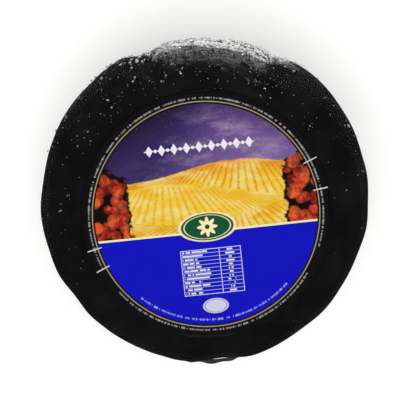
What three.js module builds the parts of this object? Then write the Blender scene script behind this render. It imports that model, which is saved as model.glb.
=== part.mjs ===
// A whole wheel of hard grating cheese: black rind under tight clear film, lying on its foot,
// with a round printed label stuck on its upper face and a pinched fold of the film on its side.
// Millimetres, +Z up. The origin is on the ground under the middle of the whole outline.

import * as THREE from 'three';

// Driving dimensions
const wheelDiameter = 245;
const wheelHeight = 130;
const sideSwell = 5; // how much wider the side is at half height than at its shoulders
const topShoulder = 17; // radii that round the two rims
const footShoulder = 12;
const faceCrown = 0.8; // how much higher the upper face is at its middle than at its shoulder

const labelRadius = 89.5;
const labelThickness = 0.5;
const labelShift = { x: 0.8, y: -4.2 }; // the label is stuck a little off the middle
const clearance = 0.3; // between pieces that lie on each other

const fold = {
  length: 48, // along the side
  reach: 4.2, // out from the side, at its middle
  endReach: 0.6,
  thickness: 0.6,
  height: 84, // above the ground
  bearing: -88, // degrees, where -90 is the side nearest the label's lower edge
  clearance: 0.4,
  sway: 1.2, // how far the line of the fold wanders up and down
  droop: 0.8, // how far its free edge hangs
  ripple: 0.9, // how far its free edge waves
};

// The outline isn't a true circle. Each lobe has its number of waves round the wheel,
// how far it stands out, and the bearing of its crest in degrees.
const outlineLobes = [
  { waves: 2, depth: 1.4, crest: 3 },
  { waves: 3, depth: 0.45, crest: 22 },
  { waves: 4, depth: 0.4, crest: 40 },
];

// Lumps and hollows of the pressed cheese, slow waves of its upper face, and pleats where
// the film is gathered over the shoulders
const lumps = { spacing: 44, depth: 1.5, seed: 440 };
const knocks = { spacing: 19, depth: 0.9, seed: 675 };
const faceWaves = { spacing: 52, depth: 0.7, seed: 3 };
const pleats = { count: 34, depth: 1, seed: 4, spacing: 60, wander: 5 };

// How finely the surfaces are divided
const spokes = 120;
const footSteps = 2;
const footShoulderSteps = 4;
const sideSteps = 9;
const topShoulderSteps = 6;
const borderSteps = 3; // between the label's edge and the shoulder
const labelSteps = 5;
const foldSteps = 22;

const middleRadius = wheelDiameter / 2;
const shoulderRadius = middleRadius - sideSwell;
const topFlatRadius = shoulderRadius - topShoulder;
const footFlatRadius = shoulderRadius - footShoulder;
const quarterTurn = Math.PI / 2;
const { degToRad, lerp, smoothstep } = THREE.MathUtils;

// A repeatable random number from 0 to 1 for each corner of a cubic lattice
function latticeValue(i, j, k, seed) {
  const mixed = Math.sin(i * 127.1 + j * 311.7 + k * 74.7 + seed * 53.3) * 43758.5453;
  return mixed - Math.floor(mixed);
}

// Smooth noise from -1 to 1 whose lumps are about one spacing across
function softNoise(x, y, z, { spacing, seed }) {
  const corner = [x, y, z].map((value) => Math.floor(value / spacing));
  const [u, v, w] = [x, y, z].map((value, axis) => smoothstep(value / spacing - corner[axis], 0, 1));
  const [i, j, k] = corner;
  const alongX = (dj, dk) =>
    lerp(latticeValue(i, j + dj, k + dk, seed), latticeValue(i + 1, j + dj, k + dk, seed), u);
  const alongY = (dk) => lerp(alongX(0, dk), alongX(1, dk), v);
  return 2 * lerp(alongY(0), alongY(1), w) - 1;
}

// How far the outline stands out of a circle at a bearing
function lobesAt(angle) {
  return outlineLobes.reduce(
    (sum, { waves, depth, crest }) => sum + depth * Math.cos(waves * (angle - degToRad(crest))),
    0,
  );
}

// Radius of the swelling side, without its relief
function sideRadius(height) {
  const low = footShoulder;
  const high = wheelHeight - topShoulder;
  const fromMiddle = (2 * height - low - high) / (high - low);
  return shoulderRadius + sideSwell * (1 - fromMiddle ** 2);
}

function faceHeight(x, y) {
  const outwards = Math.hypot(x, y) / topFlatRadius;
  const wave = softNoise(x, y, 0, faceWaves) * faceWaves.depth;
  return wheelHeight + faceCrown * (1 - outwards ** 2) + wave;
}

// How far the skin stands out of the plain round form. Slope is the bearing of the surface:
// 0 on the side, a quarter turn on the upper face, and minus a quarter turn on the foot.
function reliefAt(angle, x, y, z, slope) {
  const awayFromFoot = smoothstep(slope, -quarterTurn, -0.35 * quarterTurn);
  const awayFromFace = 1 - smoothstep(slope, 0.55 * quarterTurn, quarterTurn);
  const lump = softNoise(x, y, z, lumps) * lumps.depth;
  const knock = softNoise(x, y, z, knocks) * knocks.depth;
  const onShoulder = Math.sin(2 * slope) ** 2;
  const gathered = softNoise(x, y, z, pleats);
  const phase = pleats.count * angle + pleats.wander * gathered;
  const pleat = Math.sin(phase) * pleats.depth * Math.max(0, gathered) * onShoulder;
  return (lump + knock + pleat) * awayFromFoot * awayFromFace;
}

// A point of the skin from its place on the profile
function skinPoint(angle, { radius, height, slope }) {
  const reach = radius + (lobesAt(angle) * radius) / middleRadius;
  const x = reach * Math.cos(angle);
  const y = reach * Math.sin(angle);
  const relief = reliefAt(angle, x, y, height, slope);
  const outwards = 1 + (relief * Math.cos(slope)) / reach;
  const faceRise = Math.max(0, Math.sin(slope)) * (faceHeight(x, y) - wheelHeight);
  const z = height + relief * Math.sin(slope) + faceRise;
  return new THREE.Vector3(x * outwards, y * outwards, z);
}

function spokeAngles() {
  return Array.from({ length: spokes }, (_, spoke) => (2 * Math.PI * spoke) / spokes);
}

// Equal shares of a whole, up to 1
function shares(count) {
  return Array.from({ length: count }, (_, step) => (step + 1) / count);
}

// A ring of the upper face. Outwards runs from 0 on the label, where rings are centred
// on the label, to 1 at the shoulder, where they have the wheel's own outline.
function faceRing(radius, outwards, height = 0) {
  return spokeAngles().map((angle) => {
    const reach = radius + (lobesAt(angle) * outwards * radius) / middleRadius;
    const x = labelShift.x * (1 - outwards) + reach * Math.cos(angle);
    const y = labelShift.y * (1 - outwards) + reach * Math.sin(angle);
    return new THREE.Vector3(x, y, faceHeight(x, y) + height);
  });
}

// Rings under the label, or of its own faces, from its middle outwards
function labelRings(height) {
  return shares(labelSteps).map((share) => faceRing(labelRadius * share, 0, height));
}

function labelPole(height) {
  const { x, y } = labelShift;
  return new THREE.Vector3(x, y, faceHeight(x, y) + height);
}

// A closed surface from rings of equally many points, with a pole that closes each end.
// The rings turn anticlockwise as seen from the last pole.
function closedShell(firstPole, rings, lastPole) {
  const around = rings[0].length;
  const points = [firstPole, ...rings.flat(), lastPole];
  const at = (ring, spoke) => 1 + ring * around + (spoke % around);
  const lastRing = rings.length - 1;
  const faces = [];
  for (let spoke = 0; spoke < around; spoke++) {
    faces.push(0, at(0, spoke + 1), at(0, spoke));
    for (let ring = 0; ring < lastRing; ring++) {
      const [a, b] = [at(ring, spoke), at(ring, spoke + 1)];
      const [c, d] = [at(ring + 1, spoke + 1), at(ring + 1, spoke)];
      faces.push(a, b, c, a, c, d);
    }
    faces.push(points.length - 1, at(lastRing, spoke), at(lastRing, spoke + 1));
  }
  const geometry = new THREE.BufferGeometry().setFromPoints(points);
  geometry.setIndex(faces);
  geometry.computeVertexNormals();
  return geometry;
}

// Stations of the profile from the middle of the foot, round its shoulder, up the swelling
// side and over the upper shoulder
function profileStations() {
  const foot = shares(footSteps).map((share) => {
    return { radius: footFlatRadius * share, height: 0, slope: -quarterTurn };
  });
  const footCurve = shares(footShoulderSteps).map((share) => {
    const slope = -quarterTurn * (1 - share);
    const radius = footFlatRadius + footShoulder * Math.cos(slope);
    return { radius, height: footShoulder * (1 + Math.sin(slope)), slope };
  });
  const side = shares(sideSteps).map((share) => {
    const height = lerp(footShoulder, wheelHeight - topShoulder, share);
    return { radius: sideRadius(height), height, slope: 0 };
  });
  const topCurve = shares(topShoulderSteps).map((share) => {
    const slope = quarterTurn * share;
    const radius = topFlatRadius + topShoulder * Math.cos(slope);
    return { radius, height: wheelHeight - topShoulder * (1 - Math.sin(slope)), slope };
  });
  return [...foot, ...footCurve, ...side, ...topCurve];
}

function cheeseWheel() {
  const skin = profileStations().map((station) =>
    spokeAngles().map((angle) => skinPoint(angle, station)),
  );
  const border = shares(borderSteps - 1).map((step) => {
    const outwards = (step * (borderSteps - 1)) / borderSteps;
    return faceRing(lerp(labelRadius, topFlatRadius, outwards), outwards);
  });
  const rings = [...skin, ...border.reverse(), ...labelRings(0).reverse()];
  const rind = new THREE.MeshStandardMaterial({ color: 0x141414, roughness: 0.45 });
  return new THREE.Mesh(closedShell(new THREE.Vector3(), rings, labelPole(0)), rind);
}

// The label lies on the upper face and follows its waves
function label() {
  const top = clearance + labelThickness;
  const rings = [...labelRings(clearance), ...labelRings(top).reverse()];
  const print = new THREE.MeshStandardMaterial({ color: 0x1c1cc4, roughness: 0.35 });
  return new THREE.Mesh(closedShell(labelPole(clearance), rings, labelPole(top)), print);
}

// One cross-section of the fold. Along runs from -1 at one end of the fold to 1 at the other.
function foldSection(along) {
  const angle = degToRad(fold.bearing) + (along * fold.length) / wheelDiameter;
  const height = fold.height + fold.sway * Math.sin(2.2 * along);
  const root = skinPoint(angle, { radius: sideRadius(height), height, slope: 0 });
  const taper = (1 - along ** 4) * (0.8 + 0.2 * Math.cos(9 * along));
  const reach = lerp(fold.endReach, fold.reach, taper);
  const sag = fold.ripple * Math.sin(7 * along) - fold.droop;
  const pointAt = (share, side) => {
    const radius = Math.hypot(root.x, root.y) + fold.clearance + reach * share;
    const z = root.z + sag * share ** 2 + (side * fold.thickness) / 2;
    return new THREE.Vector3(radius * Math.cos(angle), radius * Math.sin(angle), z);
  };
  const upper = [0, 0.5, 1].map((share) => pointAt(share, 1));
  const under = [1, 0.5, 0].map((share) => pointAt(share, -1));
  return [...upper, ...under];
}

// A pinched fold of the film: a thin wavy fin along the side that tapers to both ends
function filmFold() {
  const sections = [-1, ...shares(foldSteps).map((share) => 2 * share - 1)].map(foldSection);
  const middleOf = (section) =>
    new THREE.Box3().setFromPoints(section).getCenter(new THREE.Vector3());
  const film = new THREE.MeshStandardMaterial({
    color: 0xd8d8d0,
    roughness: 0.15,
    transparent: true,
    opacity: 0.45,
  });
  const shell = closedShell(middleOf(sections[0]), sections, middleOf(sections.at(-1)));
  return new THREE.Mesh(shell, film);
}

const pieces = { cheese_wheel: cheeseWheel(), label: label(), film_fold: filmFold() };
const cheese = new THREE.Group();
for (const [name, mesh] of Object.entries(pieces)) {
  mesh.name = name;
  cheese.add(mesh);
}

// The whole outline is centred over the origin, and the foot stands on the ground.
const middle = new THREE.Box3().setFromObject(cheese).getCenter(new THREE.Vector3());
for (const mesh of cheese.children) mesh.position.set(-middle.x, -middle.y, 0);

export default cheese;
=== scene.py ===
import math
import random

import bmesh
import bpy
from mathutils import Matrix, Vector, noise


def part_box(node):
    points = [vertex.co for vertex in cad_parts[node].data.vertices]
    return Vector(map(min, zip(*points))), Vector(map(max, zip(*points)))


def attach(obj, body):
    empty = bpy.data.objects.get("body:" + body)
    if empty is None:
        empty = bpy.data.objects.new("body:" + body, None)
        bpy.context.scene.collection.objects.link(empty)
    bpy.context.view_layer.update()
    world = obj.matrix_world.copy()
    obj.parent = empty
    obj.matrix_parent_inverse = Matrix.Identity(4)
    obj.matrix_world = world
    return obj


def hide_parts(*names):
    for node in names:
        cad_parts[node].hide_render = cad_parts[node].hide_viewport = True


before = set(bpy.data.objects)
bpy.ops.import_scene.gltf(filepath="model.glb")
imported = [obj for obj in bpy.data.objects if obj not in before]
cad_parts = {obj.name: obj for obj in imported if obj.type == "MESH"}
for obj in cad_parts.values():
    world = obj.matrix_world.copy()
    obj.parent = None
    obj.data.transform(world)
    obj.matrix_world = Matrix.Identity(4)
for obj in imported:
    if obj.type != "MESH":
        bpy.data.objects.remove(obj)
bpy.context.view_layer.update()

mm = 0.001


def middleOf(node):
    low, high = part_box(node)
    return (low + high) / 2


wheelMiddle = middleOf("cheese_wheel")
labelMiddle = middleOf("label")
labelRadius = (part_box("label")[1].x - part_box("label")[0].x) / 2


# Camera

cameraView = {
    "target": (0.0008, -0.00355, 0.065),
    "distance": 1.27,
    "lean": 7.59,        # degrees from straight above, towards the label's upper edge
    "lens": 147,
    "sensor": 36,
}


def addCamera():
    lean = math.radians(cameraView["lean"])
    outwards = Vector((0, math.sin(lean), math.cos(lean)))
    place = Vector(cameraView["target"]) + cameraView["distance"] * outwards
    bpy.ops.object.camera_add(location=place, rotation=(-lean, 0, 0))
    camera = bpy.context.object
    camera.data.lens = cameraView["lens"]
    camera.data.sensor_width = cameraView["sensor"]
    bpy.context.scene.camera = camera


# Working with objects

def clearSelection():
    bpy.ops.object.select_all(action="DESELECT")


def pick(piece):
    clearSelection()
    piece.select_set(True)
    bpy.context.view_layer.objects.active = piece


def shapeBy(piece, kind, **settings):        # adds a modifier and applies it
    pick(piece)
    modifier = piece.modifiers.new(kind.lower(), kind)
    for setting, value in settings.items():
        setattr(modifier, setting, value)
    bpy.ops.object.modifier_apply(modifier=modifier.name)


def subdivide(piece, levels):
    shapeBy(piece, "SUBSURF", levels=levels, render_levels=levels)


def displace(piece, texture, height, middle, **settings):
    settings = {"texture": texture, "texture_coords": "LOCAL", **settings}
    shapeBy(piece, "DISPLACE", strength=height, mid_level=middle, **settings)


def weigh(piece, name, rule):        # a vertex group whose weights come from each vertex's place
    group = piece.vertex_groups.new(name=name)
    for vertex in piece.data.vertices:
        group.add([vertex.index], rule(vertex.co), "REPLACE")
    return name


def relief(name, kind, size, **settings):        # a procedural texture for displacement
    texture = bpy.data.textures.new(name, kind)
    texture.noise_scale = size
    for setting, value in settings.items():
        setattr(texture, setting, value)
    return texture


def finishPiece(piece, name, material, slot, *nodes):
    piece.name = name
    piece.data.name = name
    piece.data.materials.clear()
    piece.data.materials.append(material)
    piece.vertex_groups.clear()
    pick(piece)
    bpy.ops.object.transform_apply(location=True, rotation=True, scale=True)
    bpy.ops.object.shade_smooth_by_angle(angle=math.radians(50))
    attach(piece, "root")
    if nodes:
        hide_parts(*nodes)
    print(name, len(piece.data.polygons), "faces")


def ramp(value, start, end):        # 0 before the start, 1 after the end, smooth between
    share = min(1, max(0, (value - start) / (end - start)))
    return share * share * (3 - 2 * share)


# Materials

class Value:        # a shader socket that takes part in Python expressions
    def __init__(self, finish, socket):
        self.finish = finish
        self.socket = socket

    def maths(self, operation, *values):
        return self.finish.node("ShaderNodeMath", {"operation": operation}, values)

    def __add__(self, other):
        return self.maths("ADD", self, other)

    def __sub__(self, other):
        return self.maths("SUBTRACT", self, other)

    def __rsub__(self, other):
        return self.maths("SUBTRACT", other, self)

    def __mul__(self, other):
        return self.maths("MULTIPLY", self, other)

    def __truediv__(self, other):
        return self.maths("DIVIDE", self, other)

    def __rtruediv__(self, other):
        return self.maths("DIVIDE", other, self)

    def __pow__(self, other):
        return self.maths("POWER", self, other)

    def __abs__(self):
        return self.maths("ABSOLUTE", self)

    def wave(self):
        return self.maths("SINE", self)

    def floor(self):
        return self.maths("FLOOR", self)

    def within(self):        # the part after the point
        return self.maths("FRACT", self)

    def most(self, other):
        return self.maths("MAXIMUM", self, other)

    def least(self, other):
        return self.maths("MINIMUM", self, other)

    def under(self, limit, blur):        # 1 below the limit, 0 above it
        edges = {"Value": self, "From Min": limit + blur / 2, "From Max": limit - blur / 2}
        return self.finish.node("ShaderNodeMapRange", {"clamp": True}, edges)

    def over(self, limit, blur):
        edges = {"Value": self, "From Min": limit - blur / 2, "From Max": limit + blur / 2}
        return self.finish.node("ShaderNodeMapRange", {"clamp": True}, edges)

    __radd__ = __add__
    __rmul__ = __mul__


class Finish:
    def __init__(self, name):
        self.material = bpy.data.materials.new(name)
        self.material.use_nodes = True
        self.tree = self.material.node_tree
        self.shader = self.tree.nodes["Principled BSDF"]

    def node(self, kind, settings=None, inputs=None, output=0):
        made = self.tree.nodes.new(kind)
        for setting, value in (settings or {}).items():
            setattr(made, setting, value)
        listed = inputs.items() if isinstance(inputs, dict) else enumerate(inputs or [])
        for socket, value in listed:
            self.feed(made.inputs[socket], value)
        return Value(self, made.outputs[output])

    def feed(self, socket, value):
        if isinstance(value, Value):
            self.tree.links.new(value.socket, socket)
        else:
            socket.default_value = value

    def set(self, **inputs):        # sockets of the shader, with _ for a space in their names
        for name, value in inputs.items():
            self.feed(self.shader.inputs[name.replace("_", " ")], value)

    def place(self, middle=(0, 0, 0), turn=0):        # object coordinates in millimetres
        coordinates = self.node("ShaderNodeTexCoord", output=3)
        inputs = {
            "Vector": coordinates,
            "Location": middle,
            "Rotation": (0, 0, turn),
            "Scale": (mm, mm, mm),
        }
        return self.node("ShaderNodeMapping", {"vector_type": "TEXTURE"}, inputs)

    def parts(self, vector):
        return [self.node("ShaderNodeSeparateXYZ", {}, [vector], axis) for axis in range(3)]

    def join(self, x, y, z=0.0):
        return self.node("ShaderNodeCombineXYZ", {}, [x, y, z])

    def noise(self, vector, size, detail, roughness=0.5):
        inputs = {"Vector": vector, "Scale": 1 / size, "Detail": detail, "Roughness": roughness}
        return self.node("ShaderNodeTexNoise", {}, inputs)

    def chance(self, vector):        # one random number for each whole step of a vector
        return self.node("ShaderNodeTexWhiteNoise", {"noise_dimensions": "2D"}, {"Vector": vector})

    def cells(self, vector, size, output=0):        # output 1 is each cell's own colour
        inputs = {"Vector": vector, "Scale": 1 / size}
        return self.node("ShaderNodeTexVoronoi", {"feature": "F1"}, inputs, output)

    def paint(self, ground, colour, mask):
        settings = {"data_type": "RGBA"}
        return self.node("ShaderNodeMix", settings, {0: mask, 6: ground, 7: colour}, 2)

    def bump(self, height, distance, strength):
        inputs = {"Strength": strength, "Distance": distance, "Height": height}
        return self.node("ShaderNodeBump", {}, inputs)


def tint(red, green, blue):        # a screen colour, 0 to 255, as the shader's linear one
    def linear(level):
        share = level / 255
        return share / 12.92 if share <= 0.04045 else ((share + 0.055) / 1.055) ** 2.4

    return (linear(red), linear(green), linear(blue), 1)


# Shell, with which the rind and the film both start: it is raised ring by ring and drawn onto
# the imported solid

skin = {
    "footRadius": 104.5 * mm,
    "sideRadius": 117.5 * mm,
    "swell": 5 * mm,
    "footShoulder": 12 * mm,
    "topShoulder": 17 * mm,
    "border": 4 * mm,        # between the label's edge and the last ring
}
wheelHeight = 130 * mm


def stations(footSteps, sideSteps, topSteps, borderSteps):        # radius and height of each ring
    foot, top, side = skin["footShoulder"], skin["topShoulder"], skin["sideRadius"]
    found = [(skin["footRadius"], 0)]
    for step in range(1, footSteps + 1):
        turn = math.pi / 2 * (1 - step / footSteps)
        found.append((side - foot * (1 - math.cos(turn)), foot * (1 - math.sin(turn))))
    for step in range(1, sideSteps + 1):
        share = step / sideSteps
        height = foot + (wheelHeight - top - foot) * share
        found.append((side + skin["swell"] * (1 - (2 * share - 1) ** 2), height))
    for step in range(1, topSteps + 1):
        turn = math.pi / 2 * step / topSteps
        found.append((side - top * (1 - math.cos(turn)), wheelHeight - top * (1 - math.sin(turn))))
    lastRadius = labelRadius + skin["border"]
    for step in range(1, borderSteps + 1):
        share = step / borderSteps
        found.append((side - top + (lastRadius - side + top) * share, wheelHeight))
    return found


def raiseShell(spokes, rings, offset):
    radius, height = rings[0]
    clearSelection()
    bpy.ops.mesh.primitive_circle_add(
        vertices=spokes,
        radius=radius,
        fill_type="NOTHING",
        location=(wheelMiddle.x, wheelMiddle.y, height),
    )
    shell = bpy.context.object
    bpy.ops.object.transform_apply(location=True, rotation=True, scale=True)
    bpy.ops.object.mode_set(mode="EDIT")
    for nextRadius, nextHeight in rings[1:]:
        rise = {"value": (0, 0, nextHeight - height)}
        bpy.ops.mesh.extrude_region_move(TRANSFORM_OT_translate=rise)
        middle = (wheelMiddle.x, wheelMiddle.y, nextHeight)
        grow = nextRadius / radius
        bpy.ops.transform.resize(value=(grow, grow, 1), center_override=middle)
        radius, height = nextRadius, nextHeight
    bpy.ops.mesh.fill_grid(span=spokes // 4)
    bpy.ops.mesh.select_all(action="DESELECT")
    mesh = bmesh.from_edit_mesh(shell.data)
    for edge in mesh.edges:        # the open ring that is left is the foot's
        edge.select_set(edge.is_boundary)
    bmesh.update_edit_mesh(shell.data)
    bpy.ops.mesh.fill_grid(span=spokes // 4)
    bpy.ops.mesh.select_all(action="SELECT")
    bpy.ops.mesh.normals_make_consistent(inside=False)
    bpy.ops.object.mode_set(mode="OBJECT")
    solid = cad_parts["cheese_wheel"]
    shapeBy(shell, "SHRINKWRAP", target=solid, wrap_mode="ABOVE_SURFACE", offset=offset)
    subdivide(shell, 2)
    return shell


dents = {
    "deepest": 5 * mm,
    "fromFoot": (12 * mm, 45 * mm),        # heights between which they come in
    "fromLabel": (8 * mm, 20 * mm),
    "places": (        # bearing and half width in degrees, share of the deepest
        (112, 9, 1),
        (138, 13, 0.3),
        (175, 11, 0.2),
        (214, 10, 0.34),
        (277, 11, 0.36),
        (83, 11, 0.2),
        (65, 11, 0.34),
        (36, 17, 0.18),
    ),
}


def bearingOf(place):
    return math.degrees(math.atan2(place.y - wheelMiddle.y, place.x - wheelMiddle.x))


def awayFrom(place, bearing):        # degrees
    return abs((bearingOf(place) - bearing + 180) % 360 - 180)


def fromLabel(place):        # how far a place is outside the label's edge
    return math.hypot(place.x - labelMiddle.x, place.y - labelMiddle.y) - labelRadius


def dent(piece):        # flattens the side in places
    def pressed(place):
        depth = 0
        for bearing, halfWidth, share in dents["places"]:
            depth += share * (1 - ramp(awayFrom(place, bearing), 0, halfWidth))
        onSide = ramp(place.z, *dents["fromFoot"]) * ramp(fromLabel(place), *dents["fromLabel"])
        return min(1, depth) * onSide

    group = weigh(piece, "pressed", pressed)
    shapeBy(piece, "DISPLACE", strength=-dents["deepest"], mid_level=0, vertex_group=group)


def lift(piece, height, start, end):        # raises the upper face under or over the label
    def overLabel(place):
        return (1 - ramp(fromLabel(place), start, end)) * ramp(place.z, 100 * mm, 120 * mm)

    group = weigh(piece, "over", overLabel)
    shapeBy(piece, "DISPLACE", strength=height, mid_level=0, direction="Z", vertex_group=group)


# Rind

rindLook = {
    "spokes": 128,
    "rings": (3, 13, 6, 2),
    "underFilm": 0.4 * mm,
    "underLabel": 0.5 * mm,        # how much it rises to meet the label
    "meetsLabel": (-3 * mm, -0.5 * mm),
    "pitting": 0.12 * mm,
    "pitSize": 4 * mm,
    "pitsFromFoot": (2 * mm, 10 * mm),
    "pitsFromLabel": (1 * mm, 5 * mm),
    "pimpling": 4 * mm,
    "pimpleSize": 3 * mm,
    "pimpleLevel": 0.55,        # share of their height that is sunk
    "pimpleBearing": 104,
    "pimpleSpread": (12, 30),        # degrees to each side
    "pimplesRise": (40 * mm, 70 * mm),
    "pimplesEnd": (102 * mm, 118 * mm),
    "dark": tint(15, 15, 16),
    "pale": tint(26, 26, 27),
    "cloudSize": 26,
    "grainSize": 1.1,
    "relief": 0.6 * mm,
    "roughness": 0.5,
}


def rindFinish():
    finish = Finish("blackRind")
    place = finish.place()
    clouds = finish.noise(place, rindLook["cloudSize"], 3, 0.6)
    grain = finish.noise(place, rindLook["grainSize"], 3, 0.7)
    mottle = ((clouds - 0.5) * 2.4 + grain * 0.35).over(0.3, 0.9)
    finish.set(
        Base_Color=finish.paint(rindLook["dark"], rindLook["pale"], mottle),
        Roughness=mottle * 0.15 + rindLook["roughness"],
        Specular_IOR_Level=0,        # the gloss is the film's
        Normal=finish.bump(clouds * 0.3 + grain * 0.2, rindLook["relief"], 0.5),
    )
    return finish.material


def buildRind():
    rind = raiseShell(rindLook["spokes"], stations(*rindLook["rings"]), -rindLook["underFilm"])
    dent(rind)
    lift(rind, rindLook["underLabel"], *rindLook["meetsLabel"])

    def pitted(place):        # but for the foot and under the label
        offLabel = ramp(fromLabel(place), *rindLook["pitsFromLabel"])
        return ramp(place.z, *rindLook["pitsFromFoot"]) * offLabel

    def pimpled(place):        # the upper side, where the film has come off
        upperSide = ramp(place.z, *rindLook["pimplesRise"])
        upperSide = upperSide * (1 - ramp(place.z, *rindLook["pimplesEnd"]))
        aside = awayFrom(place, rindLook["pimpleBearing"])
        return upperSide * (1 - ramp(aside, *rindLook["pimpleSpread"]))

    pits = relief("pits", "CLOUDS", rindLook["pitSize"])
    displace(rind, pits, -rindLook["pitting"], 0, vertex_group=weigh(rind, "pitted", pitted))
    pimples = relief("pimples", "CLOUDS", rindLook["pimpleSize"], noise_depth=1)
    group = weigh(rind, "pimpled", pimpled)
    displace(rind, pimples, rindLook["pimpling"], rindLook["pimpleLevel"], vertex_group=group)
    finishPiece(rind, "rind", rindFinish(), "rind", "cheese_wheel")


# Film

filmLook = {
    "spokes": 128,
    "rings": (3, 13, 6, 2),
    "offRind": 0.1 * mm,
    "offFloor": 0.05 * mm,
    "foot": (0.2 * mm, 2 * mm),        # heights between which it comes down to its foot
    "overLabel": 0.95 * mm,
    "fromLabel": (0.5 * mm, 14 * mm),        # where it comes down again outside the label's edge
    "shoulder": (70 * mm, 115 * mm),
    "slackFromLabel": (2 * mm, 14 * mm),
    "slackFromFoot": (3 * mm, 15 * mm),
    "sideSlack": 0.7,
    "darkSlack": 0.35,        # on the shoulder away from the brightest light
    "level": 0.2,        # share of the next three heights that is sunk
    "waveSize": 11 * mm,
    "waveHeight": 0.7 * mm,
    "creaseSize": 16 * mm,
    "creaseHeight": 0.8 * mm,
    "puckerSize": 2.6 * mm,
    "puckerHeight": 0.45 * mm,
    "pleats": 64,        # all round the side
    "pleatHeight": 0.9 * mm,
    "pleatSway": 26 * mm,
    "pleatPatch": 38 * mm,
    "pleatsRise": (6 * mm, 28 * mm),
    "pleatsEnd": (90 * mm, 113 * mm),
    "index": 1.46,
    "gloss": 1,
    "looseGloss": 0.5,        # how much more it mirrors where it has come off
    "mostGloss": 0.75,
    "faceGloss": 0.08,        # the most on the upper face
    "sideGloss": 0.03,        # where it clings to the rind
    "shoulderGloss": 0.004,
    "touching": 0.9,
    # the haze is white on the film towards the brightest light: partly milky loose film, partly a
    # painted glare
    "hazeAndGlare": 0.165,
    "shoulderHazeAndGlare": 0.035,
    # the bearing of the painted glare along the shoulder
    "glareBearing": 87,
    "roughness": 0.07,
    "looseRoughness": 0.3,
    "clingRoughness": 0.4,        # added where it clings to the side towards the brightest light
}
filmPattern = {        # sizes in millimetres, for the film and its blisters
    "fine": 2.2,
    "slow": 7,
    "wander": 24,
    "pleats": 2.4,
    "creases": 20,
    "bubbles": 3.6,
    "bubblePatches": 8,
    # patches of the shoulder's haze and painted glare
    "hazeAndGlarePatches": 9,
    "drawnOut": 0.16,        # how little the folds of the side change with the height
    "relief": 0.6 * mm,
}
keyBearing = 82        # degrees, the side that the brightest light stands on


def towardsKey(place):        # 1 on the side of the brightest light, 0 opposite
    bearing = math.atan2(place.y - wheelMiddle.y, place.x - wheelMiddle.x)
    return 0.5 + 0.5 * math.cos(bearing - math.radians(keyBearing))


def gathered(place):        # how loosely the film lies: most on the shoulder of the lit side
    onShoulder = ramp(place.z, *filmLook["shoulder"])
    onFace = ramp(fromLabel(place), *filmLook["slackFromLabel"])
    low = filmLook["sideSlack"] * ramp(place.z, *filmLook["slackFromFoot"]) * (1 - onShoulder)
    least = filmLook["darkSlack"]
    return low + onShoulder * onFace * (least + (1 - least) * towardsKey(place) ** 2)


def puckered(place):
    return gathered(place) * towardsKey(place) ** 6


def footed(place):
    return 1 - ramp(place.z, *filmLook["foot"])


def pleated(place):        # upright folds of the side, each of its own length
    around = Vector((place.x - wheelMiddle.x, place.y - wheelMiddle.y, place.z / 4))
    sway = noise.noise(around / filmLook["pleatSway"])
    ridge = math.sin(math.radians(bearingOf(place)) * filmLook["pleats"] + sway * 6) / 2 + 0.5
    patch = ramp(noise.noise(around / filmLook["pleatPatch"]), -0.1, 0.35)
    onSide = ramp(place.z, *filmLook["pleatsRise"]) * (1 - ramp(place.z, *filmLook["pleatsEnd"]))
    return ridge ** 4 * patch * onSide


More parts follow.
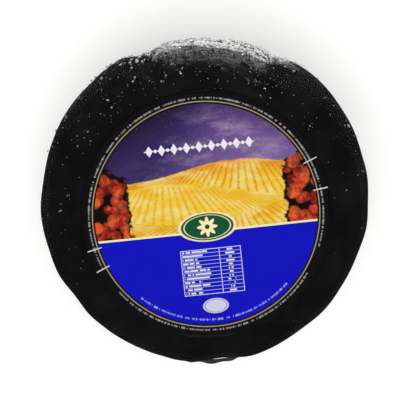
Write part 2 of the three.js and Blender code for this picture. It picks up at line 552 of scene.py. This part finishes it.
def filmFinish(name, look):
    finish = Finish(name)
    place = finish.place(wheelMiddle)
    x, y, z = finish.parts(place)        # the height is measured from half way up
    reach = (x * x + y * y) ** 0.5

    def facing(bearing):        # 1 where the surface lies towards a bearing, less to each side
        turn = math.radians(bearing)
        return (x * math.cos(turn) + y * math.sin(turn)) / reach

    size = filmPattern
    drawn = finish.join(x, y, z * size["drawnOut"])        # the folds of the side run up and down
    fine = finish.noise(place, size["fine"], 4, 0.65)
    slow = finish.noise(place, size["slow"], 3, 0.55)
    wander = (finish.noise(place, size["wander"], 2) - 0.5) * 0.14 + slow * 0.1
    pleats = finish.noise(drawn, size["pleats"], 3, 0.6)
    creased = abs(finish.noise(finish.join(x, y, z * 1.6), size["creases"], 2) - 0.5)
    wall = z.under(30, 42)
    shoulder = (1 - wall) * reach.over(96, 10)
    face = 1 - wall - shoulder
    # loose lies towards the brightest light; besides gloss and roughness it places the painted glare
    looseWall = (facing(keyBearing) + wander).over(0.965, 0.05)
    looseShoulder = (facing(look["glareBearing"]) + slow * 0.1).over(0.985, 0.03)
    loose = looseWall * (1 - shoulder) + looseShoulder * shoulder
    wrinkles = (fine * 0.4 + pleats * 0.6) * (loose * 0.9 + 0.1) + slow
    wrinkles = wrinkles + creased.under(0.06, 0.12) * 0.7
    normal = finish.bump(wrinkles, size["relief"], 0.9)
    cell = finish.cells(drawn, size["bubbles"])
    bubbles = abs(cell - 0.42).under(0.07, 0.08)        # rings and spots where it touches the rind
    bubbles = bubbles * finish.noise(place, size["bubblePatches"], 2).over(0.4, 0.12)
    bubbles = bubbles.most(cell.under(0.14, 0.1)).most(pleats.under(0.4, 0.08))
    off = 1 - bubbles * look["touching"]        # low where it touches the rind
    mirror = finish.node("ShaderNodeFresnel", {}, {"IOR": look["index"], "Normal": normal})
    most = face * look["faceGloss"] + (1 - face) * look["mostGloss"]
    lifted = (mirror * (loose * look["looseGloss"] + look["gloss"])).least(most)
    tight = wall * look["sideGloss"] + shoulder * look["shoulderGloss"] + face * lifted
    mirror = lifted * loose * off + tight * (1 - loose)
    # the haze: white film colour on the loose side wall and shoulder, partly milky film and partly a
    # painted glare standing in for the light's reflection
    patches = finish.noise(place, size["hazeAndGlarePatches"], 4, 0.65).over(0.45, 0.25)
    hazeAndGlare = z.over(5, 30) * z.under(44, 14) * look["hazeAndGlare"]
    hazeAndGlare = hazeAndGlare.most(z.over(30, 20) * reach.over(108, 9) * patches * look["shoulderHazeAndGlare"])
    hazeAndGlare = hazeAndGlare * loose * off
    clinging = facing(keyBearing).over(0.3, 1.1) * wall * (1 - loose)
    roughness = loose * look["looseRoughness"] + clinging * look["clingRoughness"]
    finish.set(
        Base_Color=tint(250, 250, 250),
        Metallic=1 - hazeAndGlare / (hazeAndGlare + mirror + 0.001),
        Roughness=roughness + look["roughness"],
        Alpha=hazeAndGlare + mirror,
        Normal=normal,
    )
    return finish.material


def buildFilm():
    film = raiseShell(filmLook["spokes"], stations(*filmLook["rings"]), filmLook["offRind"])
    dent(film)
    lift(film, filmLook["overLabel"], *filmLook["fromLabel"])
    slack = weigh(film, "gathered", gathered)
    lit = weigh(film, "puckered", puckered)
    waves = relief("waves", "CLOUDS", filmLook["waveSize"], noise_depth=1)
    displace(film, waves, filmLook["waveHeight"], filmLook["level"], vertex_group=slack)
    kind = {"musgrave_type": "RIDGED_MULTIFRACTAL"}
    creases = relief("creases", "MUSGRAVE", filmLook["creaseSize"], **kind)
    displace(film, creases, filmLook["creaseHeight"], filmLook["level"], vertex_group=slack)
    puckers = relief("puckers", "CLOUDS", filmLook["puckerSize"], noise_depth=0)
    displace(film, puckers, filmLook["puckerHeight"], filmLook["level"], vertex_group=lit)
    foot = weigh(film, "footed", footed)
    raised = filmLook["offRind"] + filmLook["offFloor"]        # off the floor
    shapeBy(film, "DISPLACE", strength=raised, mid_level=0, direction="Z", vertex_group=foot)
    folds = weigh(film, "pleated", pleated)
    shapeBy(film, "DISPLACE", strength=filmLook["pleatHeight"], mid_level=0, vertex_group=folds)
    finishPiece(film, "film", filmFinish("clearFilm", filmLook), "rind", "cheese_wheel")
    return film


# Blisters, low clear domes: where the film has come off the side, and small ones on the upper
# face and the label

blisters = {
    "seed": 11,
    "kinds": (        # radius in millimetres, height above the ground in metres
        {
            "zone": "face",
            "count": 34,
            "radius": (0.8, 1.4),
            "spread": 32,
            "height": (0.1, 0.13),
            "facets": (16, 10),
        },
        {
            "zone": "face",
            "count": 230,
            "radius": (0.3, 0.6),
            "spread": 48,
            "height": (0.1, 0.13),
            "facets": (8, 5),
        },
        {
            "zone": "side",
            "count": 70,
            "radius": (0.5, 1.6),
            "spread": 34,
            "height": (0.02, 0.11),
            "facets": (12, 7),
        },
        {
            "zone": "side",
            "count": 170,
            "radius": (0.5, 1.6),
            "spread": 14,
            "height": (0.05, 0.12),
            "facets": (8, 5),
        },
        {
            "zone": "label",
            "count": 130,
            "radius": (0.22, 0.45),
            "spread": 26,
            "height": (0.13, 0.13),
            "facets": (8, 5),
        },
    ),
    "offLabel": 2 * mm,
    "bearing": 96,        # degrees, round which they gather
    "oval": 0.7,        # width of a dome as a share of its length
    "rise": 0.7,        # and its height, as a share of half its length
    "sunk": 0.25,        # share of its height that is below the film
    "roughness": 0.04,
    "index": 1.46,
    "gloss": 20,
    "looseGloss": 0,
    "mostGloss": 0.7,
    "faceGloss": 0.7,
    "sideGloss": 0.5,
    "shoulderGloss": 0.5,
    "touching": 0,
    # the domes' haze: partly milky, partly a painted glare on the side towards the brightest light
    "hazeAndGlare": 0.1,
    "shoulderHazeAndGlare": 0.05,
    "glareBearing": 87,
    "looseRoughness": 0,
    "clingRoughness": 0,
}


def addBlister(film, place, radius, spin, facets):
    _, foot, normal, _ = film.closest_point_on_mesh(place)
    turn = normal.to_track_quat("Z", "Y").to_matrix() @ Matrix.Rotation(spin, 3, "Z")
    clearSelection()
    bpy.ops.mesh.primitive_uv_sphere_add(segments=facets[0], ring_count=facets[1], radius=1)
    dome = bpy.context.object
    rise = blisters["rise"]
    size = Matrix.Diagonal((radius, radius * blisters["oval"], radius * rise, 1))
    foot = foot - normal * radius * rise * blisters["sunk"]
    dome.data.transform(Matrix.Translation(foot) @ turn.to_4x4() @ size)
    return dome


def buildBlisters(film):
    draw = random.Random(blisters["seed"])
    domes = []
    outmost = skin["sideRadius"] + 4 * mm
    for kind in blisters["kinds"]:
        for _ in range(kind["count"]):
            bearing = math.radians(draw.gauss(blisters["bearing"], kind["spread"]))
            reach = outmost
            if kind["zone"] != "side":
                reach = draw.uniform(labelRadius + blisters["offLabel"], outmost)
            if kind["zone"] == "label":
                reach = draw.uniform(labelRadius / 2, labelRadius)
            onRim = reach > skin["sideRadius"] - skin["topShoulder"] / 2
            height = draw.uniform(*kind["height"]) if onRim else wheelHeight
            aim = Vector((math.cos(bearing) * reach, math.sin(bearing) * reach, height))
            radius = draw.uniform(*kind["radius"]) * mm
            spin = draw.uniform(0, math.pi)
            place = wheelMiddle.xy.to_3d() + aim
            domes.append(addBlister(film, place, radius, spin, kind["facets"]))
    clearSelection()
    for dome in domes:
        dome.select_set(True)
    bpy.context.view_layer.objects.active = domes[0]
    bpy.ops.object.join()
    finishPiece(bpy.context.object, "filmBlisters", filmFinish("blisterFilm", blisters), "rind")


# Label. Its print is laid out in millimetres across and up from its middle, turned a little
# as the label lies.

labelLook = {
    "turn": 6,        # degrees
    "spokes": 96,
    "cockle": 0.08 * mm,
    "cockleSize": 18 * mm,
    "thickness": 0.5 * mm,
    "black": tint(17, 16, 17),
    "gold": tint(172, 160, 122),
    "goldEdge": tint(34, 24, 18),
    "blue": tint(8, 10, 190),
    "blueLight": tint(14, 16, 206),
    "cream": tint(255, 240, 190),
    "white": tint(240, 240, 244),
    "ink": tint(190, 190, 196),
    "inkBlue": tint(190, 190, 235),
    "fieldRadius": 80.2,
    "ringRadius": 81.85,
    "ringWidth": (0.36, 0.85),        # half of the gold's, and with its dark edge
    "horizon": -11.9,        # the line between the picture and the blue field
    "lineWidth": 0.75,
    "outerPrint": {"radius": 84.4, "height": 1.45, "letter": 0.95},
    "innerPrint": {"radius": 76.7, "height": 1.7, "letter": 1},
    "outerGaps": (-151, -29),        # degrees
    "innerReach": 44,        # degrees to each side of the lowest point
    "creaseGlints": (7, 22, 191.5, 202),        # degrees from the turned axis: white strokes that are painted glints of creases in the label
    "glintFrom": 79,
    "glintWidth": 0.35,
    "roughness": 0.34,
    "shine": 0.12,
}

picture = {
    "streaks": (30, 11),
    "night": tint(20, 14, 34),
    "skyDark": tint(34, 24, 84),
    "skyHigh": tint(108, 78, 150),
    "skyLow": tint(122, 94, 152),
    "cloud": tint(190, 166, 200),
    "thicket": tint(16, 15, 13),
    "bloomLit": tint(246, 132, 66),
    "blooms": (
        {"size": 7, "red": tint(136, 18, 18), "orange": tint(190, 48, 24), "reach": 0.56},
        {"size": 11, "red": tint(188, 26, 22), "orange": tint(232, 92, 40), "reach": 0.44},
    ),
    "straw": tint(246, 224, 128),
    "hills": (
        {
            "crest": 33,
            "wave": 5,
            "length": 24,
            "shift": 0.6,
            "high": tint(232, 150, 24),
            "low": tint(248, 204, 58),
            "furrow": tint(198, 108, 16),
            "vanish": 30,
        },
        {
            "crest": 17,
            "wave": 8,
            "length": 33,
            "shift": 2.5,
            "high": tint(240, 194, 36),
            "low": tint(244, 208, 66),
            "furrow": tint(226, 140, 20),
            "vanish": -26,
        },
        {
            "crest": 1,
            "wave": 6,
            "length": 30,
            "shift": -1.1,
            "high": tint(236, 178, 28),
            "low": tint(242, 200, 50),
            "furrow": tint(206, 116, 18),
            "vanish": 20,
        },
    ),
}

table = {
    "middle": (0.4, -41.1),
    "size": (43.3, 32.9),
    "rows": 12,
    "divider": 0.643,
    "line": 0.45,
}

stamp = {"middle": (0.2, -66.6), "size": (18.7, 11.2), "field": tint(214, 216, 232)}
emblem = {
    "middle": (-0.1, -8.5),
    "size": (42, 21.5),
    "field": tint(16, 84, 52),
    "petals": 8,
    "petalReach": 7.4,
}
ornament = {"middle": (0, 49.5), "size": (79, 8), "pitch": 9}


def inBox(u, v, middle, size, blur=0.3):
    across = abs(u - middle[0]) - size[0] / 2
    up = abs(v - middle[1]) - size[1] / 2
    return across.most(up).under(0, blur)


def paintSky(finish, u, v):
    long, tall = picture["streaks"]
    sky = finish.paint(picture["skyLow"], picture["skyHigh"], v.over(58, 46))
    streaks = finish.noise(finish.join(u / long, v / tall), 1, 5, 0.6)
    mottle = finish.noise(finish.join(u, v), 2.2, 3, 0.7)
    sky = finish.paint(sky, picture["cloud"], (streaks + mottle * 0.22).over(0.68, 0.2) * 0.6)
    dark = (u * 0.8 - v * 0.5 + streaks * 30 + mottle * 14).under(-4, 44)
    sky = finish.paint(sky, picture["skyDark"], dark * 0.9)
    corners = (abs(u - 6) * 0.5 + v + streaks * 24).over(96, 26)
    return finish.paint(sky, picture["night"], corners * 0.92)


def paintHills(finish, ground, u, v):
    wobble = (finish.noise(finish.join(u, v), 7, 3, 0.6) - 0.5) * 2.4
    speckle = finish.noise(finish.join(u, v), 1.6, 3, 0.7)
    light = finish.noise(finish.join(u / 21, v / 8), 1, 3, 0.55).over(0.52, 0.16)
    for hill in picture["hills"]:
        crest = (u / hill["length"] + hill["shift"]).wave() * hill["wave"] + hill["crest"] + wobble
        depth = crest - v
        colour = finish.paint(hill["high"], hill["low"], depth.over(7, 12))
        colour = finish.paint(colour, picture["straw"], light * 0.8)
        rows = ((u - hill["vanish"]) * 44 / (depth + 24) + wobble * 0.9).wave()
        furrows = rows.over(0.5, 0.7) * speckle.over(0.45, 0.3) * depth.over(2, 3)
        colour = finish.paint(colour, hill["furrow"], furrows * 0.7)
        ground = finish.paint(ground, colour, depth.over(0, 0.5))
    return ground


def paintFlanks(finish, ground, u, v):        # dark growth at both sides, with red blooms
    vector = finish.join(u, v)
    wobble = finish.noise(vector, 9, 3, 0.6) - 0.5
    crowns = (v - 32 + wobble * 30).most(0)
    flank = (abs(u - 2) + wobble * 16 - crowns * 2).over(56, 1.5)
    ground = finish.paint(ground, picture["thicket"], flank)
    band = (abs(u - 2) + wobble * 12).over(58, 1.5) * (abs(v - 9) + wobble * 12).under(27, 4)
    lit = finish.noise(vector, 5, 3, 0.6)
    shaded = finish.noise(finish.join(u + 40, v), 7, 3, 0.6).over(0.53, 0.2)
    for bloom in picture["blooms"]:
        distance = finish.cells(vector, bloom["size"]) + wobble * 0.35
        hue = finish.parts(finish.cells(vector, bloom["size"], output=1))[0]
        petals = finish.paint(bloom["red"], bloom["orange"], (hue + wobble * 1.4).over(0.5, 0.7))
        petals = finish.paint(petals, picture["thicket"], distance.under(0.08, 0.12) * 0.8)
        petals = finish.paint(petals, picture["thicket"], distance.over(bloom["reach"], 0.3) * 0.5)
        glow = (lit - distance * 0.35).over(0.47, 0.2)
        petals = finish.paint(petals, picture["bloomLit"], glow * 0.6)
        petals = finish.paint(petals, picture["thicket"], shaded * 0.7)
        ground = finish.paint(ground, petals, distance.under(bloom["reach"], 0.05) * band)
    return ground


def paintEmblem(finish, ground, u, v):
    across = (u - emblem["middle"][0]) / (emblem["size"][0] / 2)
    up = (v - emblem["middle"][1]) / (emblem["size"][1] / 2)
    oval = (across * across + up * up) ** 0.5
    ground = finish.paint(ground, labelLook["cream"], oval.under(1, 0.04))
    ground = finish.paint(ground, emblem["field"], oval.under(0.91, 0.04))
    ground = finish.paint(ground, labelLook["cream"], abs(oval - 0.8).under(0.02, 0.03))
    x, y = u - emblem["middle"][0], v - emblem["middle"][1]
    reach = (x * x + y * y) ** 0.5
    turn = x.maths("ARCTAN2", y, x)
    petal = (turn * emblem["petals"]).maths("COSINE", turn * emblem["petals"])
    edge = petal * 1.6 + emblem["petalReach"] - 1.6
    ground = finish.paint(ground, labelLook["cream"], (reach - edge).under(0, 0.4))
    return finish.paint(ground, emblem["field"], reach.under(1.7, 0.4))


def paintOrnament(finish, ground, u, v):        # a row of diamonds and dots on a line
    x, y = u - ornament["middle"][0], v - ornament["middle"][1]
    extent = abs(x).under(ornament["size"][0] / 2, 0.3)
    step = (x / ornament["pitch"] + 0.5).within() - 0.5
    along = abs(step * ornament["pitch"])
    diamond = (along / 2.7 + abs(y) / (ornament["size"][1] / 2)).under(1, 0.12)
    half = (x / ornament["pitch"]).within() - 0.5
    dotAlong = half * ornament["pitch"]
    dot = (dotAlong * dotAlong + y * y).under(1.5, 0.8)
    line = abs(y).under(0.3, 0.3)
    return finish.paint(ground, labelLook["white"], diamond.most(dot).most(line) * extent)


def paintTable(finish, ground, u, v):
    width, height = table["size"]
    halfLine = table["line"] / 2
    left = table["middle"][0] - width / 2
    foot = table["middle"][1] - height / 2
    rowHeight = height / table["rows"]
    inside = inBox(u, v, table["middle"], (width + table["line"], height + table["line"]))
    rows = (v - foot) / rowHeight
    offLine = (0.5 - abs(rows.within() - 0.5)) * rowHeight
    divider = left + width * table["divider"]
    offFrame = (width / 2 - abs(u - table["middle"][0])).least(abs(u - divider))
    lines = offLine.under(halfLine, 0.15) * 0.55
    lines = lines.most(offFrame.under(halfLine, 0.2))
    lines = lines.most((height / 2 - abs(v - table["middle"][1])).under(halfLine, 0.2))
    rowNumber = rows.floor()
    letters = finish.chance(finish.join((u / 1.1).floor(), rowNumber)).over(0.22, 0.1)
    middleOfRow = abs(rows.within() - 0.5).under(0.24, 0.1)
    length = finish.chance(finish.join(rowNumber, 3.0)) * 17 + 6
    firstColumn = (u - left - 1).over(0, 0.2) * (u - left - length).under(0, 0.3)
    shortLength = finish.chance(finish.join(rowNumber, 7.0)) * 5 + 2
    secondColumn = (abs(u - divider - 7.5) - shortLength / 2).under(0, 0.3)
    bars = firstColumn.most(secondColumn) * middleOfRow * letters
    return finish.paint(ground, labelLook["white"], lines.most(bars) * inside * 0.9)


def printedArc(finish, radius, turn, ring, inside):        # plain short strokes
    reach, height = ring["radius"], ring["height"]
    along = turn * (reach / ring["letter"])
    number = along.floor()
    shape = finish.chance(finish.join(number, 1.0))
    gaps = finish.chance(finish.join(number, 4.0)).over(0.22, 0.02)
    stroke = (abs(along.within() - 0.5) + shape * 0.16).under(0.4, 0.15)
    tall = (abs(radius - reach) + shape * (height * 0.22)).under(height * 0.5, 0.2)
    return stroke * tall * gaps * inside * (1 - shape * 0.4)


def paintBorder(finish, ground, u, v, radius, turn):
    gold, goldEdge = labelLook["ringWidth"]
    offRing = abs(radius - labelLook["ringRadius"])
    ground = finish.paint(ground, labelLook["goldEdge"], offRing.under(goldEdge, 0.3))
    ground = finish.paint(ground, labelLook["gold"], offRing.under(gold, 0.3))
    bearing = turn * (180 / math.pi)
    left, right = [abs(bearing - gap).over(7, 0.5) for gap in labelLook["outerGaps"]]
    outer = printedArc(finish, radius, turn, labelLook["outerPrint"], left * right)
    ground = finish.paint(ground, labelLook["ink"], outer * 0.85)
    lowerArc = abs(bearing + 90).under(labelLook["innerReach"], 0.5)
    inner = printedArc(finish, radius, turn, labelLook["innerPrint"], lowerArc)
    ground = finish.paint(ground, labelLook["inkBlue"], inner * 0.9)
    # white strokes across the ring: painted glints where the label is creased
    for glintBearing in labelLook["creaseGlints"]:
        aside = u * -math.sin(math.radians(glintBearing)) + v * math.cos(math.radians(glintBearing))
        ahead = u * math.cos(math.radians(glintBearing)) + v * math.sin(math.radians(glintBearing))
        glint = abs(aside).under(labelLook["glintWidth"], 0.3) * ahead.over(labelLook["glintFrom"], 0.4)
        ground = finish.paint(ground, labelLook["white"], glint * 0.85)
    return ground


def labelFinish():
    finish = Finish("labelPrint")
    place = finish.place(labelMiddle, math.radians(labelLook["turn"]))
    u, v, _ = finish.parts(place)
    radius = (u * u + v * v) ** 0.5
    turn = u.maths("ARCTAN2", v, u)
    upper = paintSky(finish, u, v)
    upper = paintHills(finish, upper, u, v)
    upper = paintFlanks(finish, upper, u, v)
    upper = paintOrnament(finish, upper, u, v)
    shade = finish.noise(place, 30, 2, 0.5) * 0.3
    blue = finish.paint(labelLook["blue"], labelLook["blueLight"], shade)
    blue = paintTable(finish, blue, u, v)
    across = (u - stamp["middle"][0]) / (stamp["size"][0] / 2)
    up = (v - stamp["middle"][1]) / (stamp["size"][1] / 2)
    oval = (across * across + up * up) ** 0.5
    blue = finish.paint(blue, stamp["field"], oval.under(1, 0.05))
    blue = finish.paint(blue, labelLook["blue"], abs(oval - 0.84).under(0.03, 0.05) * 0.8)
    design = finish.paint(blue, upper, v.over(labelLook["horizon"], 0.3))
    line = abs(v - labelLook["horizon"]).under(labelLook["lineWidth"], 0.3)
    design = finish.paint(design, labelLook["cream"], line)
    design = paintEmblem(finish, design, u, v)
    design = finish.paint(labelLook["black"], design, radius.under(labelLook["fieldRadius"], 0.3))
    design = paintBorder(finish, design, u, v, radius, turn)
    cockle = finish.noise(place, 14, 2, 0.5)
    finish.set(
        Base_Color=design,
        Roughness=cockle * 0.1 + labelLook["roughness"],
        Specular_IOR_Level=labelLook["shine"],
        Normal=finish.bump(cockle, 0.5 * mm, 0.2),
    )
    return finish.material


def buildLabel():
    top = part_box("label")[1].z
    clearSelection()
    bpy.ops.mesh.primitive_circle_add(
        vertices=labelLook["spokes"],
        radius=labelRadius,
        fill_type="NOTHING",
        location=(labelMiddle.x, labelMiddle.y, top),
    )
    label = bpy.context.object
    bpy.ops.object.transform_apply(location=True, rotation=True, scale=True)
    bpy.ops.object.mode_set(mode="EDIT")
    bpy.ops.mesh.fill_grid(span=labelLook["spokes"] // 4)
    bpy.ops.mesh.select_all(action="SELECT")
    bpy.ops.mesh.normals_make_consistent(inside=False)
    mesh = bmesh.from_edit_mesh(label.data)
    if sum(face.normal.z for face in mesh.faces) < 0:
        bpy.ops.mesh.flip_normals()
    bpy.ops.object.mode_set(mode="OBJECT")
    shapeBy(
        label,
        "SHRINKWRAP",
        target=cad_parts["label"],
        wrap_method="PROJECT",
        use_project_z=True,
        use_negative_direction=True,
        use_positive_direction=True,
    )
    subdivide(label, 2)
    cockles = relief("cockles", "CLOUDS", labelLook["cockleSize"])
    displace(label, cockles, labelLook["cockle"], 0.5, direction="Z")
    shapeBy(label, "SOLIDIFY", thickness=labelLook["thickness"], offset=-1)
    finishPiece(label, "labelPaper", labelFinish(), "label", "label")


# Fold of the film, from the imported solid, rounded and rippled

foldLook = {
    "ripple": 0.5 * mm,
    "rippleSize": 5 * mm,
    # pale and milky: partly the fold's milky film, partly a painted highlight along its inner part
    "pale": tint(176, 172, 156),
    "milkyHighlight": tint(222, 220, 206),
    "dark": tint(46, 43, 36),        # at its free edge
    "highlightTo": 117.6,        # millimetres from the middle, to where the painted highlight reaches
    "roughness": 0.18,
}


def foldFinish():
    finish = Finish("foldedFilm")
    place = finish.place(wheelMiddle)
    x, y, _ = finish.parts(place)
    streaks = finish.noise(place, 3, 4, 0.6)
    hazeAndGlare = streaks.over(0.5, 0.3)
    fromMiddle = (x * x + y * y) ** 0.5 + (streaks - 0.5) * 3
    edge = fromMiddle.over(foldLook["highlightTo"], 0.8)
    # a painted highlight along the fold's inner part, with milky streaks; darker at its free edge
    colour = finish.paint(foldLook["pale"], foldLook["milkyHighlight"], hazeAndGlare)
    finish.set(
        Base_Color=finish.paint(colour, foldLook["dark"], edge),
        Roughness=hazeAndGlare * 0.2 + foldLook["roughness"],
        Alpha=edge.most(hazeAndGlare) * 0.35 + 0.55,
        Normal=finish.bump(streaks, 0.6 * mm, 0.5),
    )
    return finish.material


def buildFold():
    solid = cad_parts["film_fold"]
    fold = solid.copy()
    fold.data = solid.data.copy()
    fold.animation_data_clear()
    for key in list(fold.keys()):
        del fold[key]
    bpy.context.scene.collection.objects.link(fold)
    fold.parent = None
    pick(fold)
    bpy.ops.object.mode_set(mode="EDIT")
    bpy.ops.mesh.select_all(action="SELECT")
    bpy.ops.mesh.remove_doubles(threshold=0.01 * mm)
    bpy.ops.mesh.tris_convert_to_quads()
    bpy.ops.object.mode_set(mode="OBJECT")
    subdivide(fold, 2)
    ripples = relief("ripples", "CLOUDS", foldLook["rippleSize"])
    displace(fold, ripples, foldLook["ripple"], 0.5, direction="Z")
    finishPiece(fold, "filmFold", foldFinish(), "film", "film_fold")


# Floor, light and surroundings

studio = {
    "floorSize": 24,
    "floor": tint(238, 238, 236),
    "glow": 0.33,
    "backdropHeight": 24,
    "backdrop": tint(250, 250, 249),
    "keyPower": 11,
    "keySize": (2.2, 0.9),
    "keyDistance": 1.5,
    "keyHeight": 20,        # degrees above the floor
    "fillPower": 2.7,
    "fillSpread": 75,        # degrees
    "fillHeight": 77,
    "around": 0.015,        # brightness of the surroundings
}


def buildFloor():
    clearSelection()
    bpy.ops.mesh.primitive_plane_add(size=studio["floorSize"])
    floor = bpy.context.object
    floor.name = "floor"
    finish = Finish("paleFloor")
    finish.set(
        Base_Color=studio["floor"],
        Roughness=0.9,
        Emission_Color=(1, 1, 1, 1),
        Emission_Strength=studio["glow"],
    )
    floor.data.materials.append(finish.material)


def buildBackdrop():        # closes the view behind the floor, and lights nothing
    clearSelection()
    bpy.ops.mesh.primitive_cylinder_add(
        vertices=96,
        radius=studio["floorSize"] / 2,
        depth=studio["backdropHeight"],
        end_fill_type="NOTHING",
    )
    backdrop = bpy.context.object
    backdrop.name = "backdrop"
    backdrop.visible_diffuse = backdrop.visible_glossy = backdrop.visible_shadow = False
    finish = Finish("paleBackdrop")
    finish.set(
        Base_Color=(0, 0, 0, 1),
        Specular_IOR_Level=0,
        Emission_Color=studio["backdrop"],
        Emission_Strength=1,
    )
    backdrop.data.materials.append(finish.material)


def addLight(kind, bearing, height, power):
    turn, rise = math.radians(bearing), math.radians(height)
    level = math.cos(rise)
    outwards = Vector((math.cos(turn) * level, math.sin(turn) * level, math.sin(rise)))
    aim = Vector((0, 0, wheelHeight))
    rotation = outwards.to_track_quat("Z", "Y").to_euler()
    place = aim + outwards * studio["keyDistance"]
    bpy.ops.object.light_add(type=kind, location=place, rotation=rotation)
    bpy.context.object.data.energy = power
    bpy.context.object.visible_camera = False
    return bpy.context.object


def lightStudio():
    key = addLight("AREA", keyBearing, studio["keyHeight"], studio["keyPower"])
    key.data.shape = "RECTANGLE"
    key.data.size, key.data.size_y = studio["keySize"]
    fill = addLight("SUN", keyBearing + 180, studio["fillHeight"], studio["fillPower"])
    fill.data.angle = math.radians(studio["fillSpread"])
    fill.visible_glossy = False        # so that the film over the black rind stays dark from above
    world = bpy.data.worlds.new("studio")
    bpy.context.scene.world = world
    world.use_nodes = True
    background = world.node_tree.nodes["Background"]
    background.inputs["Color"].default_value = (1, 1, 1, 1)
    background.inputs["Strength"].default_value = studio["around"]


addCamera()
buildRind()
buildBlisters(buildFilm())
buildLabel()
buildFold()
buildFloor()
buildBackdrop()
lightStudio()
bpy.context.scene.view_settings.view_transform = "Standard"
print("studio ready")
